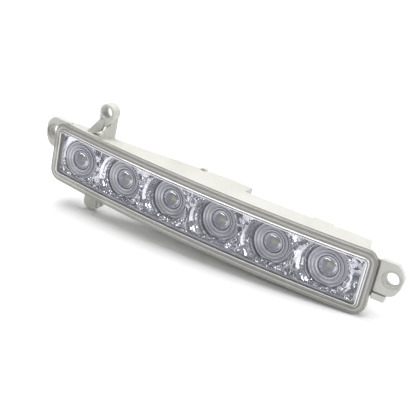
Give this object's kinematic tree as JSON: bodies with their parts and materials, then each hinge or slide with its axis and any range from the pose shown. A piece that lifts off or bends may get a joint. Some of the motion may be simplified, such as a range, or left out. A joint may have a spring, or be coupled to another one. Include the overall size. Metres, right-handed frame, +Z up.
{
  "type": "daytime running light",
  "caption": "Long shallow daytime running light with a curved clear lens, ringed optics in a metallised tray, screw ears, ring bracket and rear connector socket.",
  "frame": {"origin": "centre of the right ear's screw hole, on the face the screw head sits on", "axes": "+X along the lamp to the right seen from the front, -Y out of the lens towards the front of the car, +Z up"},
  "size_m": [0.1954, 0.0384, 0.0553],
  "materials": {
    "housing_plastic": "pale warm grey moulded plastic, satin",
    "clear_lens": "clear polished moulding",
    "sealant": "warm grey elastic bead",
    "reflector_chrome": "vacuum metallised, bright",
    "clear_optic": "clear moulded optic with rings",
    "led_package": "white package with yellow phosphor under a clear dome",
    "led_board_mask": "grey solder mask",
    "thermal_pad": "soft blue-grey gap filler",
    "spreader_aluminium": "plain rolled sheet",
    "screw_steel": "zinc plated",
    "driver_board": "green solder mask",
    "black_package": "moulded epoxy",
    "ferrite": "pressed ferrite",
    "capacitor_can": "drawn can",
    "capacitor_ceramic": "fired ceramic",
    "pin_brass": "tin flashed brass",
    "vent_membrane": "white porous film"
  },
  "bodies": {
    "root": {"housing": "housing_plastic", "outer_lens": "clear_lens", "lens_sealant": "sealant", "reflector": "reflector_chrome", "collimator_1": "clear_optic", "collimator_2": "clear_optic", "collimator_3": "clear_optic", "collimator_4": "clear_optic", "collimator_5": "clear_optic", "collimator_6": "clear_optic", "led_board": "led_board_mask", "led_1": "led_package", "led_2": "led_package", "led_3": "led_package", "led_4": "led_package", "led_5": "led_package", "led_6": "led_package", "thermal_pad": "thermal_pad", "heat_spreader": "spreader_aluminium", "led_board_screws": "screw_steel", "driver_board": "driver_board", "driver_board_screws": "screw_steel", "driver_ic": "black_package", "inductor": "ferrite", "input_capacitor": "capacitor_can", "suppressor_diode": "black_package", "polarity_diode": "black_package", "chip_resistors": "black_package", "chip_capacitors": "capacitor_ceramic", "link_header": "black_package", "link_pins": "pin_brass", "terminal_supply": "pin_brass", "terminal_earth": "pin_brass", "vent_membrane": "vent_membrane"}
  },
  "joints": []
}
